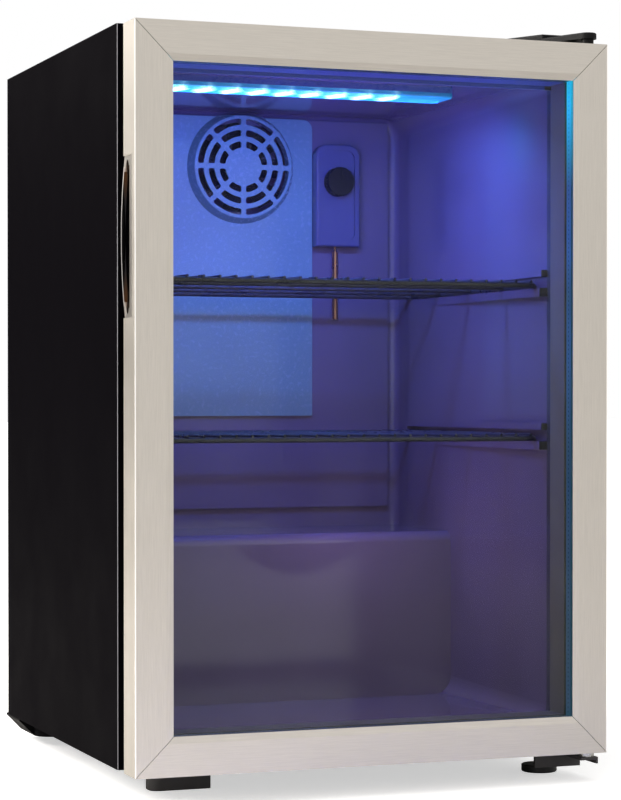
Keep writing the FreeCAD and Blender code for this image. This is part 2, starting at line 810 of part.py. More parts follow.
def make_fan_cover():
    plate = box(COVER_LEFT, COVER_RIGHT, COVER_Y, BACK_PANEL_Y, COVER_BOTTOM, BACK_PANEL_TOP)
    top_corners = [e for e in plate.Edges
                   if e.BoundBox.YLength > 1 and e.BoundBox.ZMin > BACK_PANEL_TOP - 1]
    plate = plate.makeFillet(10, top_corners)
    centre = V(FAN_X, BOSS_Y, FAN_Z)
    height = COVER_Y + 1 - BOSS_Y
    boss = Part.makeCone(BOSS_R, BOSS_BASE_R, height, centre, Y_DIR)
    rim = [e for e in boss.Edges if e.BoundBox.YMax < BOSS_Y + 0.01]
    boss = boss.makeFillet(1.5, rim)
    boss = boss.common(box(COVER_LEFT, COVER_RIGHT, BOSS_Y, BACK_PANEL_Y, 0, BACK_PANEL_TOP + 1))
    bowl = rod_y(FAN_X, FAN_Z, BOSS_Y + BOSS_WALL, BACK_PANEL_Y + 1, BOSS_R - BOSS_WALL)
    return cut_all(plate.fuse(boss), [bowl] + grille_slots()).removeSplitter()


def make_evaporator():
    """Aluminium plate with the refrigerant tube running to and fro on it."""
    top = EVAP_LOW + EVAP_PITCH * (EVAP_PASSES - 1)
    plate = box(EVAP_LEFT - 20, EVAP_RIGHT + 18, EVAP_Y - 1, EVAP_Y + 1,
                EVAP_LOW - 15, top + 15)
    route = serpentine(EVAP_LEFT, EVAP_RIGHT, EVAP_Y, EVAP_LOW, EVAP_PITCH, EVAP_PASSES)
    tube = bent_tube(route, EVAP_TUBE_R, EVAP_PITCH / 2)
    return plate.fuse(tube)


def make_fan_motor():
    motor = rod_y(FAN_X, FAN_Z, MOTOR_Y, MOTOR_Y + MOTOR_DEPTH, HUB_R)
    arms = []
    for angle in (30, 150, 210, 330):
        arm = box(FAN_X + HUB_R - 3, FAN_X + 65, MOTOR_Y, MOTOR_Y + 3, FAN_Z - 3, FAN_Z + 3)
        post = box(FAN_X + 61, FAN_X + 65, BACK_PANEL_Y, MOTOR_Y, FAN_Z - 3, FAN_Z + 3)
        limb = arm.fuse(post)
        limb.rotate(V(FAN_X, 0, FAN_Z), Y_DIR, angle)
        arms.append(limb)
    body = fuse_all([motor] + arms)
    return body.cut(rod_y(FAN_X, FAN_Z, MOTOR_Y - 1, MOTOR_Y + 9, 1.5 + PIN_PLAY))


def make_fan_blade():
    back = FAN_FRONT_Y + FAN_DEPTH
    hub = rod_y(FAN_X, FAN_Z, FAN_FRONT_Y, back, HUB_R)
    shaft = rod_y(FAN_X, FAN_Z, back, MOTOR_Y + 8, 1.5)
    wheel = [hub, shaft]
    swept = rod_y(FAN_X, FAN_Z, FAN_FRONT_Y, back, BLADE_R)
    middle = (FAN_FRONT_Y + back) / 2
    for i in range(BLADE_COUNT):
        blade = box(FAN_X + HUB_R - 4, FAN_X + BLADE_R + 2, middle - 0.8, middle + 0.8,
                    FAN_Z - 13, FAN_Z + 13)
        blade.rotate(V(FAN_X, middle, FAN_Z), X_DIR, BLADE_PITCH)
        blade.rotate(V(FAN_X, middle, FAN_Z), Y_DIR, i * 360.0 / BLADE_COUNT)
        wheel.append(blade.common(swept))
    return fuse_all(wheel)


def make_control_housing():
    left = CONTROL_X - CONTROL_HALF
    right = CONTROL_X + CONTROL_HALF
    block = box(left, right, CONTROL_Y, BACK_PANEL_Y, CONTROL_BOTTOM, CONTROL_TOP)
    top_edges = [e for e in block.Edges
                 if e.BoundBox.YLength > 5 and e.BoundBox.ZMin > CONTROL_TOP - 1]
    block = block.makeFillet(CONTROL_CORNER, top_edges)
    front_edges = [e for e in block.Edges if e.BoundBox.YMax < CONTROL_Y + 0.01]
    block = block.makeFillet(2.5, front_edges)
    rim = CONTROL_RIM
    dish = box(left + rim, right - rim, CONTROL_Y - 1, DISH_FLOOR_Y,
               CONTROL_BOTTOM + rim, CONTROL_TOP - rim)
    upright = [e for e in dish.Edges if e.BoundBox.YLength > 2]
    dish = dish.makeFillet(CONTROL_CORNER - 4, upright)
    wall = CONTROL_WALL
    hollow = box(left + wall, right - wall, DISH_FLOOR_Y + wall, BACK_PANEL_Y + 1,
                 CONTROL_BOTTOM + wall, CONTROL_TOP - CONTROL_CORNER)
    bore = rod_y(CONTROL_X, KNOB_Z, CONTROL_Y - 1, SWITCH_Y + 1, KNOB_SHAFT_R + PIN_PLAY)
    notch = box(CONTROL_X - 4, CONTROL_X + 4, 141, BACK_PANEL_Y + 1,
                CONTROL_BOTTOM - 1, CONTROL_BOTTOM + wall + 1)
    return cut_all(block, [dish, hollow, bore, notch])


def make_control_knob():
    back = DISH_FLOOR_Y - 0.6
    front = back - KNOB_DEPTH
    disc = rod_y(CONTROL_X, KNOB_Z, front, back, KNOB_R)
    rim = [e for e in disc.Edges if e.BoundBox.YMax < front + 0.01]
    disc = disc.makeFillet(1.5, rim)
    pointer = box(CONTROL_X - 1.2, CONTROL_X + 1.2, front - 1, front + 1.2,
                  KNOB_Z + 3, KNOB_Z + KNOB_R + 1)
    flutes = []
    step = 2 * math.pi / KNOB_FLUTES
    for i in range(KNOB_FLUTES):
        x = CONTROL_X + (KNOB_R + 0.7) * math.cos((i + 0.5) * step)
        z = KNOB_Z + (KNOB_R + 0.7) * math.sin((i + 0.5) * step)
        flutes.append(rod_y(x, z, front - 1, back - 2.5, FLUTE_R))
    shaft = rod_y(CONTROL_X, KNOB_Z, back - 1, SWITCH_Y, KNOB_SHAFT_R)
    return cut_all(disc, [pointer] + flutes).fuse(shaft)


def make_control_switch():
    return box(CONTROL_X - SWITCH_HALF, CONTROL_X + SWITCH_HALF, SWITCH_Y,
               BACK_PANEL_Y - 0.5, KNOB_Z - SWITCH_RISE, KNOB_Z + SWITCH_RISE)


def make_sensor_tube():
    """Thin tube from the switch down to the bulb on the back wall."""
    tube = rod_z(CONTROL_X, SENSOR_Y, BULB_TOP, KNOB_Z - SWITCH_RISE, 1.0)
    bulb = rod_z(CONTROL_X, SENSOR_Y, BULB_BOTTOM, BULB_TOP, BULB_R)
    return tube.fuse(bulb)


# -------------------------------------------------------------------- shelves
def make_shelf(level):
    """Welded wire shelf: round-cornered rim, grid wires on top, braces below."""
    half = SHELF_HALF - RIM_WIRE_R
    front = SHELF_FRONT + RIM_WIRE_R
    back = SHELF_BACK - RIM_WIRE_R
    r = RIM_CORNER
    route = [
        V(0, front, level),
        V(half, front, level),
        V(half, back, level),
        V(-half, back, level),
        V(-half, front, level),
        V(0, front, level),
    ]
    rim_path = bent_path(route, r)
    section = Part.Wire(Part.makeCircle(RIM_WIRE_R, route[0], X_DIR))
    rim = rim_path.makePipeShell([section], True, True)
    wires = [rim]
    grid_z = level + RIM_WIRE_R + GRID_WIRE_R - WELD_SINK
    for i in range(-GRID_SIDE_COUNT, GRID_SIDE_COUNT + 1):
        wires.append(rod_y(i * GRID_PITCH, grid_z, SHELF_FRONT + 0.5, SHELF_BACK - 0.5,
                           GRID_WIRE_R))
    brace_z = grid_z - GRID_WIRE_R - BRACE_WIRE_R + WELD_SINK
    for y in BRACE_PLACES:
        wires.append(rod_x(y, brace_z, -half, half, BRACE_WIRE_R))
    return wires[0].multiFuse(wires[1:])


# --------------------------------------------------------------------- hinges
def hinge_arm(z0, z1, tip_r, inset):
    """Plan of the hinge arm: a bar that runs forward to a round tip."""
    outline = [
        V(HINGE_X - 0.870 * tip_r, HINGE_Y - 0.493 * tip_r, z0),
        V(HINGE_X + tip_r, HINGE_Y, z0),
        V(HINGE_X + tip_r, ARM_REAR - inset, z0),
    ]
    for x, y in ARM_INNER_EDGE:
        outline.append(V(x + inset, min(y, ARM_REAR - inset), z0))
    bar = prism(outline, V(0, 0, z1 - z0))
    return bar.fuse(rod_z(HINGE_X, HINGE_Y, z0, z1, tip_r)).removeSplitter()


def behind_door(shape):
    """The stretch of a hinge piece that lies on the cabinet top."""
    return shape.common(box(100, 240, CABINET_FRONT + 2, 0, 0, 800))


def make_top_bracket():
    tip_r = ARM_TIP_R - 1.5
    base = behind_door(hinge_arm(CABINET_TOP, ARM_BOTTOM, tip_r, ARM_CLEARANCE))
    arm = hinge_arm(ARM_BOTTOM, ARM_BOTTOM + ARM_THICK, tip_r, ARM_CLEARANCE)
    return base.fuse(arm).removeSplitter()


def make_top_cover(bracket, screws):
    """Moulded cover that hides the steel arm; it is lower over the door."""
    arm = hinge_arm(ARM_SKIRT, ARM_COVER_TOP, ARM_TIP_R, 0)
    high = behind_door(hinge_arm(CABINET_TOP, COVER_TOP, ARM_TIP_R, 0))
    top_edges = [e for e in arm.Edges if e.BoundBox.ZMin > ARM_COVER_TOP - 0.01]
    arm = arm.makeFillet(1.5, top_edges)
    top_edges = [e for e in high.Edges if e.BoundBox.ZMin > COVER_TOP - 0.01]
    high = high.makeFillet(1.5, top_edges)
    cover = arm.fuse(high).removeSplitter()
    hollow = behind_door(hinge_arm(CABINET_TOP - 1, COVER_TOP - 2, ARM_TIP_R - 1.5, 2.5))
    under = hinge_arm(ARM_SKIRT - 1, ARM_BOTTOM, ARM_TIP_R - 1.5, 2.5)
    return cut_all(cover, [hollow, under, bracket, screws])


def make_top_screws():
    screws = []
    head_z = ARM_BOTTOM + ARM_THICK
    for x, y in ARM_SCREWS:
        shank = rod_z(x, y, CABINET_TOP - 9, head_z, SCREW_R)
        head = rod_z(x, y, head_z, head_z + SCREW_HEAD, SCREW_HEAD_R)
        screws.append(shank.fuse(head))
    return Part.makeCompound(screws)


def make_top_pin():
    pin = rod_z(HINGE_X, HINGE_Y, DOOR_TOP - PIN_GRIP, ARM_BOTTOM, PIN_R)
    collar = rod_z(HINGE_X, HINGE_Y, DOOR_TOP + BUSH_FLANGE + 0.3, ARM_BOTTOM, COLLAR_R)
    return pin.fuse(collar).removeSplitter()


def make_bottom_bracket(screws, stem_hole):
    """Plate under the cabinet, a flange in front of it and the lug of the pin."""
    rear = FLANGE_REAR_Y
    flange = box(FLANGE_LEFT, FLANGE_RIGHT, rear - FLANGE_THICK, rear,
                 FLANGE_BOTTOM, CABINET_BOTTOM - 0.3)
    lug = box(LUG_INNER_X, LUG_SIDE_X, LUG_FRONT, rear, LUG_TOP - LUG_THICK, LUG_TOP)
    side = box(LUG_SIDE_X - LUG_SIDE_THICK, LUG_SIDE_X, LUG_FRONT, rear,
               LUG_SIDE_BOTTOM, LUG_TOP)
    plate = box(FLANGE_LEFT, PLATE_RIGHT, rear, PLATE_REAR, PLATE_BOTTOM, CABINET_BOTTOM)
    return cut_all(fuse_all([flange, lug, side, plate]), [screws, stem_hole])


def make_bottom_screws():
    screws = []
    for y in PLATE_SCREW_Y:
        head = rod_z(PLATE_SCREW_X, y, PLATE_BOTTOM - SCREW_HEAD, PLATE_BOTTOM, SCREW_HEAD_R)
        shank = rod_z(PLATE_SCREW_X, y, PLATE_BOTTOM, PLATE_BOTTOM + 12, SCREW_R)
        screws.append(head.fuse(shank))
    return Part.makeCompound(screws)


def make_bottom_pin():
    return rod_z(HINGE_X, HINGE_Y, LUG_TOP, DOOR_BOTTOM + PIN_GRIP, PIN_R)


def make_washer():
    top = DOOR_BOTTOM - BUSH_FLANGE - 0.1
    disc = rod_z(HINGE_X, HINGE_Y, LUG_TOP, top, WASHER_R)
    return disc.cut(rod_z(HINGE_X, HINGE_Y, LUG_TOP - 1, top + 1, PIN_R))


# ----------------------------------------------------------------------- feet
def make_levelling_foot():
    disc = rod_z(FOOT_X, FOOT_Y, 0, FOOT_THICK, FOOT_R)
    low = [e for e in disc.Edges if e.BoundBox.ZMax < 0.01]
    disc = disc.makeFillet(1.5, low)
    high = [e for e in disc.Edges if e.BoundBox.ZMin > FOOT_THICK - 0.01]
    disc = disc.makeFillet(1.0, high)
    return disc.fuse(rod_z(FOOT_X, FOOT_Y, FOOT_THICK, STEM_TOP, STEM_R))


def make_left_foot():
    """Shallow block with one rounded corner under the free side of the door."""
    left, right = LEFT_FOOT_X
    front, rear = LEFT_FOOT_Y
    block = box(left, right, front, rear, 0, CABINET_BOTTOM)
    corner = [e for e in block.Edges
              if e.BoundBox.YMax < front + 0.01 and e.BoundBox.XMax < left + 0.01]
    block = block.makeFillet(LEFT_FOOT_CORNER, corner)
    low = [e for e in block.Edges if e.BoundBox.ZMax < 0.01]
    return block.makeFillet(1.0, low)


def make_rear_feet():
    foot = rod_z(REAR_FOOT_X, REAR_FOOT_Y, 0, PAN_FLOOR, REAR_FOOT_R)
    low = [e for e in foot.Edges if e.BoundBox.ZMax < 0.01]
    return both_sides(foot.makeFillet(1.5, low))


def make_hole_plugs():
    plugs = []
    for x in CAP_X:
        cap = rod_z(x, CAP_Y, CABINET_TOP, CABINET_TOP + 1.2, 5.5)
        shank = rod_z(x, CAP_Y, CABINET_TOP - 5, CABINET_TOP, 3.0)
        plugs.append(cap.fuse(shank))
    return Part.makeCompound(plugs)


def make_rear_screws():
    screws = []
    for x in REAR_SCREW_X:
        for z in REAR_SCREW_Z:
            head = rod_y(x, z, CABINET_REAR, CABINET_REAR + SCREW_HEAD, SCREW_HEAD_R)
            shank = rod_y(x, z, CABINET_REAR - 6, CABINET_REAR, SCREW_R)
            screws.append(head.fuse(shank))
    return Part.makeCompound(screws)


# --------------------------------------------------------------- refrigeration
def make_compressor():
    body = rod_z(COMP_X, COMP_Y, COMP_BOTTOM, COMP_TOP, COMP_R)
    top = [e for e in body.Edges if e.BoundBox.ZMin > COMP_TOP - 0.01]
    body = body.makeFillet(COMP_DOME, top)
    low = [e for e in body.Edges if e.BoundBox.ZMax < COMP_BOTTOM + 0.01]
    body = body.makeFillet(5.0, low)
    seam = rod_z(COMP_X, COMP_Y, SEAM_BOTTOM, SEAM_TOP, COMP_R + 2.5)
    plate_top = COMP_PLATE_BOTTOM + COMP_PLATE_THICK
    plate = box(COMP_X - COMP_PLATE_HALF_X, COMP_X + COMP_PLATE_HALF_X,
                COMP_Y - COMP_PLATE_HALF_Y, COMP_Y + COMP_PLATE_HALF_Y,
                COMP_PLATE_BOTTOM, plate_top)
    stand = rod_z(COMP_X, COMP_Y, plate_top, COMP_BOTTOM + 6, COMP_R - 10)
    comp = fuse_all([body, seam, plate, stand])
    holes = []
    for dx, dy in COMP_FEET:
        holes.append(rod_z(COMP_X + dx, COMP_Y + dy, 0, COMP_BOTTOM, COMP_HOLE_R))
    return cut_all(comp, holes)


def make_grommets():
    grommets = []
    floor = PAN_FLOOR + PAN_SKIN
    plate_top = COMP_PLATE_BOTTOM + COMP_PLATE_THICK
    for dx, dy in COMP_FEET:
        x = COMP_X + dx
        y = COMP_Y + dy
        foot = rod_z(x, y, floor, COMP_PLATE_BOTTOM, 9.0)
        neck = rod_z(x, y, COMP_PLATE_BOTTOM, plate_top, COMP_HOLE_R)
        cap = rod_z(x, y, plate_top, plate_top + 3, 6.5)
        grommets.append(fuse_all([foot, neck, cap]))
    return Part.makeCompound(grommets)


def make_relay_cover(compressor):
    side = COMP_X - COMP_R
    block = box(side - 24, side + 14, COMP_Y - RELAY_HALF, COMP_Y + RELAY_HALF,
                RELAY_BOTTOM, RELAY_TOP)
    return block.cut(compressor)


def make_drip_tray():
    low = COMP_TOP + 0.2
    left, right = TRAY_X
    front, rear = TRAY_Y
    tray = box(left, right, front, rear, low, low + TRAY_DEPTH)
    upright = [e for e in tray.Edges if e.BoundBox.ZLength > 10]
    tray = tray.makeFillet(TRAY_CORNER, upright)
    wall = TRAY_WALL
    hollow = box(left + wall, right - wall, front + wall, rear - wall,
                 low + wall, low + TRAY_DEPTH + 1)
    upright = [e for e in hollow.Edges if e.BoundBox.ZLength > 10]
    return tray.cut(hollow.makeFillet(TRAY_CORNER - wall, upright))


def drain_rod(r):
    return rod_z(DRAIN_X, DRAIN_Y, DRAIN_END, RECESS_BOTTOM, r)


def make_drain_tube():
    bore = rod_z(DRAIN_X, DRAIN_Y, DRAIN_END - 1, RECESS_BOTTOM + 1, DRAIN_BORE_R)
    return drain_rod(DRAIN_R).cut(bore)


def make_suction_line():
    """From the low end of the evaporator down to the compressor."""
    x = EVAP_LEFT - 20
    route = [
        V(EVAP_LEFT, EVAP_Y, EVAP_LOW),
        V(x, EVAP_Y, EVAP_LOW),
        V(x, EVAP_Y, SUCTION_Z),
        V(-60, COMP_Y, SUCTION_Z),
        V(COMP_X - COMP_R, COMP_Y, SUCTION_Z),
    ]
    return bent_tube(route, EVAP_TUBE_R, 9)


def make_capillary():
    """Thin tube from the drier up to the high end of the evaporator."""
    top = EVAP_LOW + EVAP_PITCH * (EVAP_PASSES - 1)
    route = [
        V(EVAP_LEFT, EVAP_Y, top),
        V(CAPILLARY_X, EVAP_Y, top),
        V(CAPILLARY_X, DRIER_Y, top),
        V(CAPILLARY_X, DRIER_Y, CAPILLARY_Z),
        V(DRIER_X, DRIER_Y, CAPILLARY_Z),
        V(DRIER_X, DRIER_Y, DRIER_TOP + 6),
    ]
    return bent_tube(route, CAPILLARY_R, 6)


def make_condenser_tube():
    route = serpentine(-COND_HALF, COND_HALF, COND_Y, COND_LOW, COND_PITCH, COND_PASSES)
    return bent_tube(route, COND_TUBE_R, COND_PITCH / 2)


def make_condenser_wires():
    low = COND_LOW - 12
    high = COND_LOW + COND_PITCH * (COND_PASSES - 1) + 12
    offset = COND_TUBE_R + COND_WIRE_R + 0.02
    count = int(COND_WIRE_HALF // COND_WIRE_PITCH)
    wires = []
    for side in (-1, 1):
        for i in range(-count, count + 1):
            wires.append(rod_z(i * COND_WIRE_PITCH, COND_Y + side * offset, low, high,
                               COND_WIRE_R))
    return Part.makeCompound(wires)


def make_condenser_brackets(tube):
    brackets = []
    for row in BRACKET_ROWS:
        z = COND_LOW + row * COND_PITCH
        for side in (-1, 1):
            x = side * BRACKET_X
            block = box(x - 4, x + 4, CABINET_REAR, REAR_Y, z - 9, z + 9)
            brackets.append(block.cut(tube))
    return Part.makeCompound(brackets)


def make_discharge_line():
    """From the compressor's far side up to the top of the condenser."""
    top = COND_LOW + COND_PITCH * (COND_PASSES - 1)
    route = [
        V(COMP_X + COMP_R, COMP_Y, 105),
        V(178, COMP_Y, 105),
        V(178, 200, 135),
        V(DISCHARGE_X, 215, 160),
        V(DISCHARGE_X, COND_Y, 190),
        V(DISCHARGE_X, COND_Y, top),
        V(COND_HALF, COND_Y, top),
    ]
    return bent_tube(route, COND_TUBE_R, 10)


def make_filter_drier():
    """Copper drier between the condenser's low end and the thin tube."""
    body = rod_z(DRIER_X, DRIER_Y, DRIER_BOTTOM, DRIER_TOP, DRIER_R)
    neck = rod_z(DRIER_X, DRIER_Y, DRIER_TOP, DRIER_TOP + 6, 3.0)
    route = [
        V(DRIER_X, DRIER_Y, DRIER_BOTTOM),
        V(DRIER_X, DRIER_Y, DRIER_BOTTOM - 20),
        V(RETURN_X, DRIER_Y + 10, DRIER_BOTTOM - 20),
        V(RETURN_X, COND_Y, DRIER_BOTTOM + 10),
        V(RETURN_X, COND_Y, COND_LOW),
        V(-COND_HALF, COND_Y, COND_LOW),
    ]
    tail = bent_tube(route, COND_TUBE_R, 10)
    return fuse_all([body, neck, tail])


# ------------------------------------------------------------------- assembly
def main():
    left_stile = make_left_stile()
    bottom_rail = make_bottom_rail()
    pocket = make_handle_pocket()
    outside = liner_outside()

    top_screws = make_top_screws()
    bottom_screws = make_bottom_screws()
    hole_plugs = make_hole_plugs()
    rear_screws = make_rear_screws()
    stem_hole = rod_z(FOOT_X, FOOT_Y, 0, STEM_TOP + 2, STEM_R + 0.1)
    drain = make_drain_tube()
    suction = make_suction_line()
    capillary = make_capillary()
    lines = [suction, capillary, drain_rod(DRAIN_R)]
    fasteners = [top_screws, bottom_screws, hole_plugs, rear_screws]

    top_bracket = make_top_bracket().cut(top_screws)
    compressor = make_compressor()
    condenser = make_condenser_tube()

    nodes = {
        "cabinet_shell": cut_all(make_shell(), [top_screws, hole_plugs]),
        "rear_panel": make_rear_panel().cut(rear_screws),
        "bottom_panel": cut_all(make_bottom_panel(), [bottom_screws, stem_hole] + lines),
        "base_pan": make_base_pan(),
        "foam_insulation": make_foam(outside, lines + fasteners + [stem_hole]),
        "inner_liner": make_liner(outside, lines),
        "front_frame": make_front_frame(),
        "led_bar_base": make_led_base(),
        "led_strip": make_led_strip(),
        "led_bar_cover": make_led_cover(),
        "fan_cover": make_fan_cover(),
        "evaporator": cut_all(make_evaporator(), [suction, capillary]),
        "fan_motor": make_fan_motor(),
        "fan_blade": make_fan_blade(),
        "thermostat_housing": make_control_housing(),
        "thermostat_switch": make_control_switch(),
        "thermostat_knob": make_control_knob(),
        "thermostat_sensor_tube": make_sensor_tube(),
        "compressor": compressor.cut(suction),
        "compressor_grommets": make_grommets(),
        "compressor_relay_cover": make_relay_cover(compressor),
        "condenser_tube": condenser,
        "condenser_wires": make_condenser_wires(),
        "condenser_brackets": make_condenser_brackets(condenser),
        "filter_drier": make_filter_drier(),
        "suction_line": suction,
        "capillary_line": capillary,
        "discharge_line": make_discharge_line(),
        "drip_tray": make_drip_tray(),
        "drain_tube": drain,
        "top_hinge_bracket": top_bracket,
        "top_hinge_cover": make_top_cover(top_bracket, top_screws),
        "top_hinge_pin": make_top_pin(),
        "top_hinge_screws": top_screws,
        "bottom_hinge_bracket": make_bottom_bracket(bottom_screws, stem_hole),
        "bottom_hinge_pin": make_bottom_pin(),
        "bottom_hinge_washer": make_washer(),
        "bottom_hinge_screws": bottom_screws,
        "front_left_foot": make_left_foot(),
        "levelling_foot": make_levelling_foot(),
        "rear_feet": make_rear_feet(),
        "hinge_hole_plugs": hole_plugs,
        "rear_panel_screws": rear_screws,
        "cord_gland": make_cord_gland(),
        "door_left_stile": left_stile,
        "door_right_stile": mirrored(left_stile),
        "door_bottom_rail": bottom_rail,
        "door_top_rail": flipped(bottom_rail),
        "door_inner_frame": make_inner_frame(),
        "outer_pane": door_block(PANE_INSET, OUTER_PANE_Y, SPACER_Y),
        "pane_spacer": door_ring(PANE_INSET + 0.5, SPACER_INSET, SPACER_Y, INNER_PANE_Y),
        "inner_pane": door_block(PANE_INSET, INNER_PANE_Y, GLAZING_BACK_Y),
        "door_gasket": make_gasket(),
        "left_handle_pocket": pocket,
        "right_handle_pocket": mirrored(pocket),
        "top_door_bush": make_bush(1),
        "bottom_door_bush": make_bush(-1),
        "door_hole_plugs": make_door_plugs(),
    }
    for name, level in SHELF_LEVELS.items():
        nodes[name] = make_shelf(level)

    os.makedirs("parts", exist_ok=True)
    for name, shape in nodes.items():
        shape.exportStep("parts/" + name + ".step")
        box_size = shape.BoundBox
        print(name, len(shape.Solids), shape.isValid(), round(shape.Volume / 1000, 2),
              [round(v, 1) for v in (box_size.XMin, box_size.XMax, box_size.YMin,
                                     box_size.YMax, box_size.ZMin, box_size.ZMax)])


main()
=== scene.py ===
import math

import bpy
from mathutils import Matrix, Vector


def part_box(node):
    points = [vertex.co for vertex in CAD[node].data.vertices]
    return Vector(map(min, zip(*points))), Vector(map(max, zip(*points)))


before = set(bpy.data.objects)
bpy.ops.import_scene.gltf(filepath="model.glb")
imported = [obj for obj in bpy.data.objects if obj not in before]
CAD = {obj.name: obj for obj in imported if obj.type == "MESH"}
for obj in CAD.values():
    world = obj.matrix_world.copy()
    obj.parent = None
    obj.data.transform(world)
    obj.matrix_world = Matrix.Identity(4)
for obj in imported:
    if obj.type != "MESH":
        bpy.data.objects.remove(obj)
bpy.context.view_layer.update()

# A compact beverage fridge: brushed steel door frame, double glazing, black
# cabinet and a glossy dark interior lit by a blue lamp bar on the ceiling.
# All lengths are in metres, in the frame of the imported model.

MM = 0.001

STILE_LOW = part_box("door_left_stile")[0]
GRIP_LOW, GRIP_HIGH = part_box("left_handle_pocket")
CABINET_LOW, CABINET_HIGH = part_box("cabinet_shell")
LINER_LOW, LINER_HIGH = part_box("inner_liner")
SPACER_LOW, SPACER_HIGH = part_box("pane_spacer")
STRIP_LOW, STRIP_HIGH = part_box("led_strip")
LENS_LOW, LENS_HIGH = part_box("led_bar_cover")


# ------------------------------------------------------------ material tools
class Paint:
    """A material with one Principled shader, and helpers that add nodes to it."""

    def __init__(self, name, color, roughness, metallic=0.0, **sockets):
        self.material = bpy.data.materials.new(name)
        self.material.use_nodes = True
        self.nodes = self.material.node_tree.nodes
        self.links = self.material.node_tree.links
        self.shader = self.nodes["Principled BSDF"]
        self.shader.inputs["Base Color"].default_value = (*color, 1.0)
        self.shader.inputs["Roughness"].default_value = roughness
        self.shader.inputs["Metallic"].default_value = metallic
        for socket, value in sockets.items():
            self.shader.inputs[socket.replace("_", " ")].default_value = value
        self.color = color
        self.roughness = roughness
        self.height = None

    def noise(self, scale, stretch=(1, 1, 1), detail=3.0, rough=0.55):
        """Noise in the frame's own coordinates, stretched along its axes."""
        coordinates = self.nodes.new("ShaderNodeTexCoord")
        mapping = self.nodes.new("ShaderNodeMapping")
        mapping.inputs["Scale"].default_value = stretch
        texture = self.nodes.new("ShaderNodeTexNoise")
        texture.inputs["Scale"].default_value = scale
        texture.inputs["Detail"].default_value = detail
        texture.inputs["Roughness"].default_value = rough
        self.links.new(coordinates.outputs["Object"], mapping.inputs["Vector"])
        self.links.new(mapping.outputs["Vector"], texture.inputs["Vector"])
        return texture.outputs["Fac"]

    def spread(self, source, low, high, source_low=0.3, source_high=0.7):
        """Rescale a value from one range to another."""
        remap = self.nodes.new("ShaderNodeMapRange")
        remap.inputs["From Min"].default_value = source_low
        remap.inputs["From Max"].default_value = source_high
        remap.inputs["To Min"].default_value = low
        remap.inputs["To Max"].default_value = high
        self.links.new(source, remap.inputs["Value"])
        return remap.outputs["Result"]

    def vary_color(self, source, amount):
        """Mix between a darker and a lighter tone of the base colour."""
        mix = self.nodes.new("ShaderNodeMix")
        mix.data_type = "RGBA"
        dark = [c * (1 - amount) for c in self.color]
        light = [min(1.0, c * (1 + amount)) for c in self.color]
        mix.inputs["A"].default_value = (*dark, 1.0)
        mix.inputs["B"].default_value = (*light, 1.0)
        self.links.new(self.spread(source, 0.0, 1.0), mix.inputs["Factor"])
        self.links.new(mix.outputs["Result"], self.shader.inputs["Base Color"])

    def vary_roughness(self, source, amount):
        """Swing the roughness about its value."""
        low = max(0.02, self.roughness - amount)
        high = min(1.0, self.roughness + amount)
        self.links.new(self.spread(source, low, high), self.shader.inputs["Roughness"])

    def math(self, operation, first, second=0.0):
        """One maths step; each operand is a socket or a plain number."""
        node = self.nodes.new("ShaderNodeMath")
        node.operation = operation
        for i, operand in enumerate((first, second)):
            if isinstance(operand, (int, float)):
                node.inputs[i].default_value = operand
            else:
                self.links.new(operand, node.inputs[i])
        return node.outputs["Value"]

    def place(self):
        """The X, Y and Z of the shaded point in the frame."""
        coordinates = self.nodes.new("ShaderNodeTexCoord")
        split = self.nodes.new("ShaderNodeSeparateXYZ")
        self.links.new(coordinates.outputs["Object"], split.inputs["Vector"])
        return split.outputs["X"], split.outputs["Y"], split.outputs["Z"]

    def mix_color(self, mask, other):
        """Blend whatever feeds the base colour towards another colour by a mask."""
        mix = self.nodes.new("ShaderNodeMix")
        mix.data_type = "RGBA"
        base = self.shader.inputs["Base Color"]
        if base.is_linked:
            self.links.new(base.links[0].from_socket, mix.inputs["A"])
        else:
            mix.inputs["A"].default_value = (*self.color, 1.0)
        mix.inputs["B"].default_value = (*other, 1.0)
        self.links.new(mask, mix.inputs["Factor"])
        self.links.new(mix.outputs["Result"], base)

    def bump(self, source, strength, distance):
        """Add one more layer of fine relief to the surface."""
        node = self.nodes.new("ShaderNodeBump")
        node.inputs["Strength"].default_value = strength
        node.inputs["Distance"].default_value = distance
        self.links.new(source, node.inputs["Height"])
        if self.height is not None:
            self.links.new(self.height, node.inputs["Normal"])
        self.height = node.outputs["Normal"]
        self.links.new(self.height, self.shader.inputs["Normal"])


# ----------------------------------------------------------------- materials
STEEL_FACE_Y = STILE_LOW.y + 0.9 * MM
STEEL_CORNER_X = -STILE_LOW.x - 0.9 * MM
# Strength of the painted glow on highlighted steel edges.
PAINTED_EDGE_HIGHLIGHT = 0.30


def brushed_steel(name, along):
    """Satin steel with its grain along X or along Z and a painted highlight on the outer front
    corner.
    """
    paint = Paint(name, (0.73, 0.69, 0.635), 0.42, metallic=1.0)
    stretch = (1.0, 40.0, 40.0) if along == "x" else (40.0, 40.0, 1.0)
    grain = paint.noise(28.0, stretch, detail=5.0, rough=0.75)
    cloud = paint.noise(7.0)
    paint.vary_color(grain, 0.07)
    paint.vary_roughness(cloud, 0.05)
    paint.bump(grain, 0.2, 0.0001)
    # Painted highlight: the outer front corner is painted near white and given a faint glow.
    x, y, _ = paint.place()
    at_front = paint.math("LESS_THAN", y, STEEL_FACE_Y)
    at_side = paint.math("GREATER_THAN", paint.math("ABSOLUTE", x), STEEL_CORNER_X)
    corner_highlight = paint.math("MULTIPLY", at_front, at_side)
    paint.mix_color(corner_highlight, (0.95, 0.93, 0.90))
    paint.shader.inputs["Emission Color"].default_value = (1.0, 0.97, 0.93, 1.0)
    paint.links.new(paint.math("MULTIPLY", corner_highlight, PAINTED_EDGE_HIGHLIGHT),
                    paint.shader.inputs["Emission Strength"])
    return paint.material


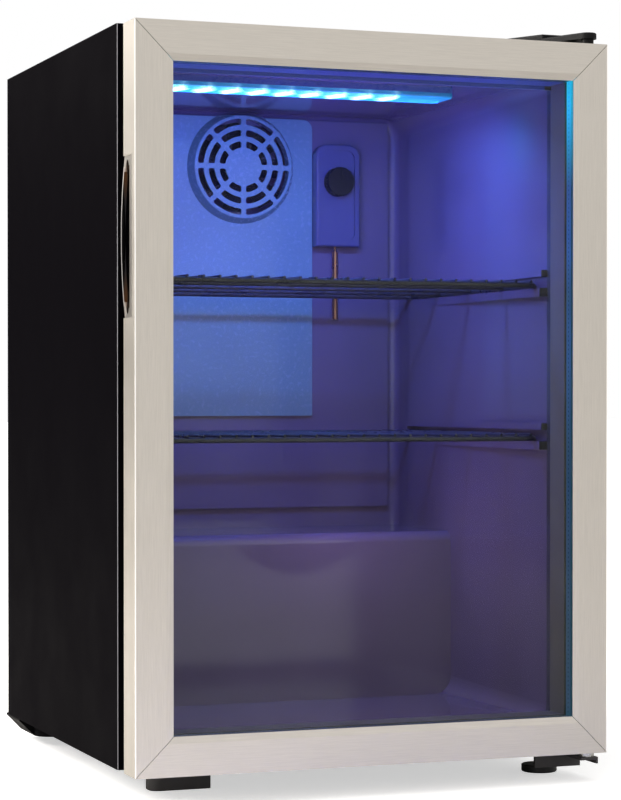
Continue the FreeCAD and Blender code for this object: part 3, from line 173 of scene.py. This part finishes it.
POCKET_FRONT_Y = STILE_LOW.y + 20 * MM
POCKET_BACK_Y = GRIP_HIGH.y - 2 * MM
POCKET_MIDDLE_Z = (GRIP_LOW.z + GRIP_HIGH.z) / 2
POCKET_HALF_Z = 65.5 * MM
POCKET_HALF_Y = 11 * MM
POCKET_SKIN = 0.2 * MM
LIP_EDGE_X = -STILE_LOW.x - 0.3 * MM


def handle_steel():
    """Satin outside; painted shade and painted dark reflection inside the lens-shaped pocket,
    turning brown towards its ends; a painted highlight on the edge of the lip.
    """
    paint = Paint("handle_steel_look", (0.74, 0.70, 0.66), 0.34, metallic=1.0)
    x, y, z = paint.place()
    middle_y = (POCKET_FRONT_Y + POCKET_BACK_Y) / 2
    along = paint.math("DIVIDE", paint.math("SUBTRACT", z, POCKET_MIDDLE_Z), POCKET_HALF_Z)
    across = paint.math("DIVIDE", paint.math("SUBTRACT", y, middle_y), POCKET_HALF_Y)
    square = paint.math("ADD", paint.math("MULTIPLY", along, along),
                        paint.math("MULTIPLY", across, across))
    inside = paint.math("LESS_THAN", square, 1.0)
    behind_front = paint.math("GREATER_THAN", y, POCKET_FRONT_Y - POCKET_SKIN)
    before_back = paint.math("LESS_THAN", y, POCKET_BACK_Y + POCKET_SKIN)
    inside = paint.math("MULTIPLY", inside, behind_front)
    inside = paint.math("MULTIPLY", inside, before_back)
    to_end = paint.spread(paint.math("ABSOLUTE", along), 0.0, 1.0, 0.45, 0.8)
    paint.vary_color(paint.noise(38.0, (1, 1, 0.35), detail=2.0), 0.10)
    # Painted shade and dark reflection inside the pocket, with a painted brown reflection towards
    # its ends.
    paint.mix_color(inside, (0.10, 0.095, 0.10))
    paint.mix_color(paint.math("MULTIPLY", inside, to_end), (0.22, 0.12, 0.06))
    paint.links.new(paint.spread(inside, 0.34, 0.16, 0.0, 1.0), paint.shader.inputs["Roughness"])
    paint.bump(paint.noise(55.0), 0.15, 0.0004)
    # Painted highlight: the outer edge of the lip is made to glow faintly.
    outside = paint.math("GREATER_THAN", paint.math("ABSOLUTE", x), LIP_EDGE_X)
    on_lip = paint.math("GREATER_THAN", y, POCKET_BACK_Y + POCKET_SKIN / 2)
    lip_highlight = paint.math("MULTIPLY", outside, on_lip)
    paint.shader.inputs["Emission Color"].default_value = (1.0, 0.97, 0.93, 1.0)
    paint.links.new(paint.math("MULTIPLY", lip_highlight, PAINTED_EDGE_HIGHLIGHT),
                    paint.shader.inputs["Emission Strength"])
    return paint.material


def plain_metal(name, color, roughness, scale=220.0, metallic=1.0):
    """Bare or plated metal with a fine speckle."""
    paint = Paint(name, color, roughness, metallic=metallic)
    speckle = paint.noise(scale, detail=4.0)
    paint.vary_color(speckle, 0.08)
    paint.vary_roughness(speckle, 0.08)
    paint.bump(speckle, 0.08, 0.0001)
    return paint.material


def powder_coat(name, color, roughness, peel=0.12, sheen=0.4):
    """Sheet painted with a fine orange-peel texture."""
    paint = Paint(name, color, roughness, Specular_IOR_Level=sheen)
    peel_noise = paint.noise(420.0, detail=2.0)
    patch = paint.noise(14.0)
    paint.vary_color(patch, 0.12)
    paint.vary_roughness(patch, 0.06)
    paint.bump(peel_noise, peel, 0.0002)
    return paint.material


SHEET_FOLD_Y = CABINET_LOW.y + 0.8 * MM
SHEET_FOLD_X = CABINET_HIGH.x - 0.6 * MM


def cabinet_coat():
    """Matt black coat with a painted highlight on the folded front corner."""
    paint = Paint("cabinet_coat", (0.0024, 0.0020, 0.0030), 0.5, Specular_IOR_Level=0.004)
    paint.vary_color(paint.noise(2.0), 0.10)
    paint.vary_roughness(paint.noise(14.0), 0.05)
    x, y, _ = paint.place()
    near_front = paint.math("LESS_THAN", y, SHEET_FOLD_Y)
    near_side = paint.math("GREATER_THAN", paint.math("ABSOLUTE", x), SHEET_FOLD_X)
    # Painted highlight: the folded front corner is painted grey.
    paint.mix_color(paint.math("MULTIPLY", near_front, near_side), (0.30, 0.30, 0.33))
    paint.bump(paint.noise(420.0, detail=2.0), 0.12, 0.0002)
    return paint.material


def moulded_plastic(name, color, roughness, texture=0.15):
    """Spark-eroded moulded surface."""
    paint = Paint(name, color, roughness)
    fine = paint.noise(900.0, detail=2.0)
    patch = paint.noise(25.0)
    paint.vary_color(patch, 0.10)
    paint.vary_roughness(fine, 0.08)
    paint.bump(fine, texture, 0.0001)
    return paint.material


FRAME_SIDE_X = LINER_HIGH.x - 16 * MM
LAMP_LIT_Z = LINER_HIGH.z - 53 * MM


def frame_plastic():
    """Dark collar and door frame; along the top they carry painted blue lamp light and a faint
    painted glow.
    """
    paint = Paint("frame_plastic_look", (0.14, 0.132, 0.088), 0.35)
    fine = paint.noise(900.0, detail=2.0)
    paint.vary_color(paint.noise(25.0), 0.10)
    paint.vary_roughness(fine, 0.08)
    x, _, z = paint.place()
    # Painted lamp light: along the top the frame is painted blue and made to glow.
    above = paint.math("GREATER_THAN", z, LAMP_LIT_Z)
    between = paint.math("LESS_THAN", paint.math("ABSOLUTE", x), FRAME_SIDE_X)
    top = paint.math("MULTIPLY", above, between)
    paint.mix_color(top, (0.06, 0.075, 0.20))
    paint.shader.inputs["Emission Color"].default_value = (0.05, 0.08, 0.38, 1.0)
    paint.links.new(paint.math("MULTIPLY", top, 0.28), paint.shader.inputs["Emission Strength"])
    paint.bump(fine, 0.15, 0.0001)
    return paint.material


LINER_RIM_Y = LINER_LOW.y + 6.6 * MM
LINER_SIDE_X = LINER_HIGH.x - 17 * MM


def gloss_liner(name, color, roughness):
    """Vacuum-formed sheet: glossy and faintly wavy, with painted shade on the sides of its front
    rim.
    """
    paint = Paint(name, color, roughness, Coat_Weight=0.45, Coat_Roughness=0.08)
    wave = paint.noise(11.0, detail=1.0)
    fine = paint.noise(260.0, detail=2.0)
    paint.vary_color(wave, 0.06)
    paint.vary_roughness(fine, 0.05)
    paint.bump(wave, 0.25, 0.0012)
    paint.bump(fine, 0.05, 0.0001)
    x, y, _ = paint.place()
    # Painted shade: the sides of the front rim are painted darker.
    rim = paint.math("LESS_THAN", y, LINER_RIM_Y)
    side = paint.math("GREATER_THAN", paint.math("ABSOLUTE", x), LINER_SIDE_X)
    paint.mix_color(paint.math("MULTIPLY", rim, side), (0.06, 0.06, 0.055))
    return paint.material


def soft_rubber(name, color, roughness=0.65):
    """Matt rubber or soft vinyl."""
    paint = Paint(name, color, roughness)
    grain = paint.noise(600.0)
    paint.vary_color(paint.noise(30.0), 0.15)
    paint.vary_roughness(grain, 0.08)
    paint.bump(grain, 0.15, 0.0001)
    return paint.material


def glass(name, tint, reflect):
    """Thin clear pane: a low-reflection coating over see-through glass."""
    material = bpy.data.materials.new(name)
    material.use_nodes = True
    nodes = material.node_tree.nodes
    links = material.node_tree.links
    nodes.clear()
    output = nodes.new("ShaderNodeOutputMaterial")
    mix = nodes.new("ShaderNodeMixShader")
    clear = nodes.new("ShaderNodeBsdfTransparent")
    clear.inputs["Color"].default_value = (*tint, 1.0)
    gloss = nodes.new("ShaderNodeBsdfGlossy")
    gloss.inputs["Roughness"].default_value = 0.02
    fresnel = nodes.new("ShaderNodeFresnel")
    fresnel.inputs["IOR"].default_value = 1.45
    share = nodes.new("ShaderNodeMath")
    share.operation = "MULTIPLY"
    share.inputs[1].default_value = reflect
    links.new(fresnel.outputs["Fac"], share.inputs[0])
    links.new(share.outputs["Value"], mix.inputs["Fac"])
    links.new(clear.outputs["BSDF"], mix.inputs[1])
    links.new(gloss.outputs["BSDF"], mix.inputs[2])
    links.new(mix.outputs["Shader"], output.inputs["Surface"])
    return material


BREATHER_PITCH = 4 * MM
BREATHER_Y = (SPACER_LOW.y + SPACER_HIGH.y) / 2
BREATHER_HALF = 0.5 * MM
SPACER_SIDE_X = SPACER_HIGH.x - 5.5 * MM
PAINTED_GLOW_FROM_Z = 540 * MM
PAINTED_GLOW_FULL_Z = 620 * MM


def spacer_bar():
    """Folded aluminium strip with its row of small breathing holes, and a painted cyan glow of the
    lamp light up its uprights.
    """
    paint = Paint("spacer_look", (0.42, 0.46, 0.52), 0.34, metallic=1.0)
    paint.vary_color(paint.noise(25.0), 0.08)
    paint.vary_roughness(paint.noise(60.0), 0.05)
    x, y, z = paint.place()
    run = paint.math("MULTIPLY", paint.math("ADD", x, z), 2 * math.pi / BREATHER_PITCH)
    pitch = paint.math("GREATER_THAN", paint.math("SINE", run), 0.2)
    across = paint.math("ABSOLUTE", paint.math("SUBTRACT", y, BREATHER_Y))
    line = paint.math("LESS_THAN", across, BREATHER_HALF)
    paint.mix_color(paint.math("MULTIPLY", pitch, line), (0.03, 0.03, 0.04))
    paint.bump(paint.noise(15.0), 0.05, 0.0002)
    # Painted lamp light: a cyan glow rises up the uprights towards the top, with a faint glow
    # everywhere.
    paint.shader.inputs["Emission Color"].default_value = (0.0, 0.46, 0.72, 1.0)
    upright = paint.math("GREATER_THAN", paint.math("ABSOLUTE", x), SPACER_SIDE_X)
    painted_glow = paint.math("MULTIPLY", paint.spread(z, 0.05, 0.85, PAINTED_GLOW_FROM_Z, PAINTED_GLOW_FULL_Z), upright)
    paint.links.new(paint.math("ADD", painted_glow, 0.02), paint.shader.inputs["Emission Strength"])
    return paint.material


def foam():
    """Rigid yellow foam with open cells."""
    paint = Paint("foam_look", (0.80, 0.70, 0.42), 0.85)
    cells = paint.noise(500.0, detail=4.0)
    paint.vary_color(cells, 0.12)
    paint.vary_roughness(cells, 0.08)
    paint.bump(cells, 0.5, 0.0005)
    return paint.material


CHIP_START = STRIP_LOW.x + 9 * MM
CHIP_PITCH = 26 * MM
CHIP_ROW_Y = (LENS_LOW.y + LENS_HIGH.y) / 2
CHIPS_END = STRIP_HIGH.x - 45 * MM
CHIP_FACE_Z = STRIP_LOW.z + 1.55 * MM
CHIP_TAPER = 16.0
LENS_FADE = 10 * MM
LENS_UNDER_Z = LENS_LOW.z + 0.2 * MM
LENS_SIDE_Z = LENS_LOW.z + 1.7 * MM


def lamp_board():
    """White board with a row of bright chips on its underside."""
    paint = Paint("lamp_look", (0.9, 0.95, 1.0), 0.4)
    paint.vary_roughness(paint.noise(200.0), 0.05)
    _, _, z = paint.place()
    chip = paint.math("LESS_THAN", z, CHIP_FACE_Z)
    paint.shader.inputs["Emission Color"].default_value = (0.35, 0.85, 1.0, 1.0)
    paint.links.new(paint.spread(chip, 0.5, 14.0, 0.0, 1.0),
                    paint.shader.inputs["Emission Strength"])
    return paint.material


def lamp_lens():
    """Clear cover of the lamp bar; it is brightest under each chip and dim past the last."""
    paint = Paint("lens_look", (0.10, 0.45, 0.65), 0.15)
    x, y, z = paint.place()
    paint.vary_roughness(paint.noise(120.0), 0.05)
    from_start = paint.math("SUBTRACT", x, CHIP_START - CHIP_PITCH / 2)
    steps = paint.math("DIVIDE", from_start, CHIP_PITCH)
    along = paint.math("ABSOLUTE", paint.math("SUBTRACT", paint.math("FRACT", steps), 0.5))
    across = paint.math("ABSOLUTE", paint.math("SUBTRACT", y, CHIP_ROW_Y))
    ripple = paint.math("MULTIPLY", paint.noise(190.0, (1, 2, 1)), 0.55)
    reach = paint.math("ADD", along, paint.math("MULTIPLY", across, CHIP_TAPER))
    reach = paint.math("ADD", reach, ripple)
    spot = paint.spread(reach, 1.0, 0.0, 0.52, 0.82)
    lamps_end = paint.math("LESS_THAN", x, CHIPS_END)
    spot = paint.math("MULTIPLY", spot, lamps_end)
    base_glow = paint.spread(x, 0.85, 0.45, CHIPS_END - LENS_FADE, CHIPS_END + LENS_FADE)
    strength = paint.math("ADD", base_glow, paint.math("MULTIPLY", spot, 2.8))
    under = paint.spread(z, 1.0, 0.12, LENS_UNDER_Z, LENS_SIDE_Z)
    strength = paint.math("MULTIPLY", strength, under)
    paint.links.new(strength, paint.shader.inputs["Emission Strength"])
    tone = paint.nodes.new("ShaderNodeMix")
    tone.data_type = "RGBA"
    tone.inputs["A"].default_value = (0.01, 0.50, 0.95, 1.0)
    tone.inputs["B"].default_value = (0.55, 0.95, 1.0, 1.0)
    paint.links.new(spot, tone.inputs["Factor"])
    paint.links.new(tone.outputs["Result"], paint.shader.inputs["Emission Color"])
    paint.shader.inputs["Alpha"].default_value = 0.8
    paint.bump(paint.noise(140.0, (1, 3, 1)), 0.3, 0.0006)
    return paint.material


LOOKS = {
    "steel_across": brushed_steel("steel_across", "x"),
    "steel_upright": brushed_steel("steel_upright", "z"),
    "polished": handle_steel(),
    "cabinet": cabinet_coat(),
    "black_sheet": powder_coat("black_sheet", (0.004, 0.0038, 0.0045), 0.5, sheen=0.03),
    "grey_sheet": powder_coat("grey_sheet", (0.27, 0.28, 0.29), 0.45, 0.08),
    "enamel": powder_coat("enamel", (0.012, 0.012, 0.014), 0.22, 0.25),
    "zinc": plain_metal("zinc", (0.62, 0.62, 0.60), 0.28),
    "aluminium": plain_metal("aluminium_look", (0.80, 0.81, 0.82), 0.30),
    "spacer": spacer_bar(),
    "copper": plain_metal("copper_look", (0.72, 0.38, 0.25), 0.30, 90.0),
    "wire": powder_coat("wire_coat", (0.035, 0.035, 0.040), 0.30, 0.05),
    "black_plastic": moulded_plastic("black_plastic_look", (0.009, 0.009, 0.010), 0.40),
    "frame_plastic": frame_plastic(),
    "foot_plastic": moulded_plastic("foot_plastic_look", (0.050, 0.046, 0.048), 0.5, 0.3),
    "hinge_coat": powder_coat("hinge_coat", (0.008, 0.008, 0.009), 0.45, sheen=0.12),
    "dark_steel": plain_metal("dark_steel_look", (0.05, 0.05, 0.055), 0.30),
    "liner": gloss_liner("liner_look", (0.135, 0.105, 0.135), 0.16),
    "cover": gloss_liner("cover_look", (0.16, 0.27, 0.235), 0.25),
    "control": gloss_liner("control_look", (0.09, 0.09, 0.14), 0.20),
    "white_plastic": moulded_plastic("white_plastic_look", (0.80, 0.81, 0.82), 0.35, 0.05),
    "seal": soft_rubber("seal_look", (0.012, 0.012, 0.013), 0.6),
    "rubber": soft_rubber("rubber_look", (0.02, 0.02, 0.02), 0.7),
    "pane": glass("pane_look", (0.975, 0.985, 0.99), 0.07),
    "lens": lamp_lens(),
    "lamp_body": gloss_liner("lamp_body_look", (0.11, 0.16, 0.44), 0.3),
    "foam": foam(),
    "lamp": lamp_board(),
}

LOOK_OF_NODE = {
    "steel_across": ("door_top_rail", "door_bottom_rail"),
    "steel_upright": ("door_left_stile", "door_right_stile"),
    "polished": ("left_handle_pocket", "right_handle_pocket"),
    "cabinet": ("cabinet_shell",),
    "black_sheet": ("base_pan", "top_hinge_bracket", "condenser_tube", "condenser_wires"),
    "foot_plastic": ("front_left_foot", "bottom_hinge_bracket"),
    "hinge_coat": ("top_hinge_cover", "top_hinge_pin"),
    "grey_sheet": ("rear_panel", "bottom_panel"),
    "enamel": ("compressor",),
    "zinc": ("top_hinge_screws", "bottom_hinge_washer", "bottom_hinge_screws",
             "rear_panel_screws"),
    "dark_steel": ("bottom_hinge_pin",),
    "aluminium": ("evaporator",),
    "spacer": ("pane_spacer",),
    "copper": ("thermostat_sensor_tube", "filter_drier", "suction_line", "capillary_line",
               "discharge_line"),
    "wire": ("upper_shelf", "lower_shelf"),
    "black_plastic": ("fan_motor", "fan_blade", "thermostat_knob", "compressor_relay_cover",
                      "condenser_brackets", "drip_tray", "levelling_foot",
                      "hinge_hole_plugs", "top_door_bush", "bottom_door_bush",
                      "door_hole_plugs"),
    "frame_plastic": ("front_frame", "door_inner_frame"),
    "liner": ("inner_liner",),
    "cover": ("fan_cover",),
    "control": ("thermostat_housing",),
    "white_plastic": ("thermostat_switch", "drain_tube"),
    "lamp_body": ("led_bar_base",),
    "seal": ("door_gasket",),
    "rubber": ("compressor_grommets", "rear_feet", "cord_gland"),
    "pane": ("outer_pane", "inner_pane"),
    "lens": ("led_bar_cover",),
    "foam": ("foam_insulation",),
    "lamp": ("led_strip",),
}


def dress(node, look):
    """Give every material slot of a CAD node the same look."""
    piece = CAD[node]
    if not piece.data.materials:
        piece.data.materials.append(None)
    for i in range(len(piece.data.materials)):
        piece.data.materials[i] = LOOKS[look]


for look_name, node_names in LOOK_OF_NODE.items():
    for node_name in node_names:
        dress(node_name, look_name)


# -------------------------------------------------------------------- studio
FLOOR_SIZE = 60.0
FLOOR_WHITE_FROM = 0.25
FLOOR_WHITE_TO = 1.0


def make_floor():
    """Pale floor that turns into the white of the room farther out."""
    bpy.ops.mesh.primitive_plane_add(size=FLOOR_SIZE, location=(0.0, 0.0, 0.0))
    floor = bpy.context.object
    floor.name = "studio_floor"
    paint = Paint("floor_look", (0.92, 0.92, 0.92), 0.6, Specular_IOR_Level=0.2)
    paint.vary_color(paint.noise(3.0), 0.005)
    path = paint.nodes.new("ShaderNodeLightPath")
    paint.mix_color(paint.math("SUBTRACT", 1.0, path.outputs["Is Camera Ray"]),
                    (0.70, 0.685, 0.66))
    x, y, _ = paint.place()
    square = paint.math("ADD", paint.math("MULTIPLY", x, x), paint.math("MULTIPLY", y, y))
    away = paint.math("SQRT", square)
    paint.shader.inputs["Emission Color"].default_value = (1.0, 1.0, 1.0, 1.0)
    fade = paint.spread(away, 0.55, 1.0, FLOOR_WHITE_FROM, FLOOR_WHITE_TO)
    glow = paint.math("MULTIPLY", fade, path.outputs["Is Camera Ray"])
    paint.links.new(glow, paint.shader.inputs["Emission Strength"])
    floor.data.materials.append(paint.material)


FRONT_LIGHT = 0.82
BACK_LIGHT = 0.03


def make_world():
    """White room for the camera; as a light it is bright in front and dark behind."""
    world = bpy.data.worlds.new("studio")
    bpy.context.scene.world = world
    world.use_nodes = True
    nodes = world.node_tree.nodes
    links = world.node_tree.links
    background = nodes["Background"]
    tint = nodes.new("ShaderNodeMix")
    tint.data_type = "RGBA"
    tint.inputs["A"].default_value = (1.0, 0.98, 0.95, 1.0)
    tint.inputs["B"].default_value = (1.0, 1.0, 1.0, 1.0)
    links.new(tint.outputs["Result"], background.inputs["Color"])
    coordinates = nodes.new("ShaderNodeTexCoord")
    split = nodes.new("ShaderNodeSeparateXYZ")
    links.new(coordinates.outputs["Generated"], split.inputs["Vector"])
    behind = nodes.new("ShaderNodeMapRange")
    behind.inputs["From Min"].default_value = 0.1
    behind.inputs["From Max"].default_value = 0.5
    behind.inputs["To Min"].default_value = FRONT_LIGHT
    behind.inputs["To Max"].default_value = BACK_LIGHT
    links.new(split.outputs["Y"], behind.inputs["Value"])
    path = nodes.new("ShaderNodeLightPath")
    choose = nodes.new("ShaderNodeMix")
    choose.inputs["B"].default_value = 1.0
    links.new(path.outputs["Is Camera Ray"], choose.inputs["Factor"])
    links.new(path.outputs["Is Camera Ray"], tint.inputs["Factor"])
    links.new(behind.outputs["Result"], choose.inputs["A"])
    links.new(choose.outputs["Result"], background.inputs["Strength"])


def area_light(name, place, target, width, height, power, color=(1.0, 1.0, 1.0)):
    """Rectangular soft light that faces its target."""
    data = bpy.data.lights.new(name, "AREA")
    data.shape = "RECTANGLE"
    data.size = width
    data.size_y = height
    data.energy = power
    data.color = color
    light = bpy.data.objects.new(name, data)
    bpy.context.scene.collection.objects.link(light)
    light.location = place
    aim = Vector(target) - Vector(place)
    light.rotation_mode = "QUATERNION"
    light.rotation_quaternion = aim.to_track_quat("-Z", "Y")
    return light


WARM_WHITE = (1.0, 0.96, 0.90)


def make_lights():
    """Softboxes at the left, behind the left edge and overhead."""
    area_light("left_softbox", (-2.2, 0.6, 1.9), (0.0, 0.0, 0.7), 1.6, 1.6, 110.0, WARM_WHITE)
    area_light("edge_softbox", (-1.2, 2.2, 1.35), (-0.2, -0.2, 0.6), 0.9, 0.9, 5.0, WARM_WHITE)
    area_light("top_softbox", (0.2, -0.9, 2.6), (0.0, 0.0, 0.35), 2.0, 2.0, 12.0)


def hide_lamp(light):
    """Let a lamp light the scene without being seen or mirrored."""
    light.visible_camera = False
    light.visible_glossy = False


def make_inside_light():
    """Blue light that the lamp bar spreads through the cabinet."""
    x = (LENS_LOW.x + LENS_HIGH.x) / 2
    y = (LENS_LOW.y + LENS_HIGH.y) / 2
    z = LENS_LOW.z - 3 * MM
    width = LENS_HIGH.x - LENS_LOW.x
    depth = LENS_HIGH.y - LENS_LOW.y
    hide_lamp(area_light("lamp_bar_light", (x, y, z), (x, y + 0.3, z - 1.0), width, depth,
                         2.9, (0.09, 0.19, 1.0)))
    glow_light("lamp_glow", (x, y, z - 0.09), 2.5, (0.16, 0.10, 1.0), 0.08)
    glow_light("low_glow", (0.06, -0.05, 0.25), 0.7, (0.66, 0.48, 1.0), 0.12)
    glow_light("corner_glow", (0.160, -0.130, 0.590), 0.05, (0.0, 0.55, 1.0), 0.02)


def glow_light(name, place, power, color, size):
    """Soft round light for what the walls throw on each other; it is not seen itself."""
    data = bpy.data.lights.new(name, "POINT")
    data.energy = power
    data.color = color
    data.shadow_soft_size = size
    glow = bpy.data.objects.new(name, data)
    bpy.context.scene.collection.objects.link(glow)
    glow.location = place
    hide_lamp(glow)


# The camera stands at the left front, level with the middle of the cabinet.
CAMERA_PLACE = Vector((-0.8047, -2.2178, 0.3499))
CAMERA_YAW = math.radians(20.609)
CAMERA_PITCH = math.radians(-0.696)
CAMERA_LENS = 109.5
CAMERA_SHIFT_UP = 0.0325


def make_camera():
    """Long lens, almost level, shifted up."""
    data = bpy.data.cameras.new("camera")
    data.lens = CAMERA_LENS
    data.sensor_width = 36.0
    data.shift_y = CAMERA_SHIFT_UP
    data.clip_start = 0.05
    data.clip_end = 60.0
    camera = bpy.data.objects.new("camera", data)
    bpy.context.scene.collection.objects.link(camera)
    camera.location = CAMERA_PLACE
    level = math.cos(CAMERA_PITCH)
    aim = Vector((math.sin(CAMERA_YAW) * level, math.cos(CAMERA_YAW) * level,
                  math.sin(CAMERA_PITCH)))
    camera.rotation_mode = "QUATERNION"
    camera.rotation_quaternion = aim.to_track_quat("-Z", "Y")
    bpy.context.scene.camera = camera


make_floor()
make_world()
make_lights()
make_inside_light()
make_camera()

scene = bpy.context.scene
scene.view_settings.view_transform = "Standard"
scene.cycles.use_denoising = True
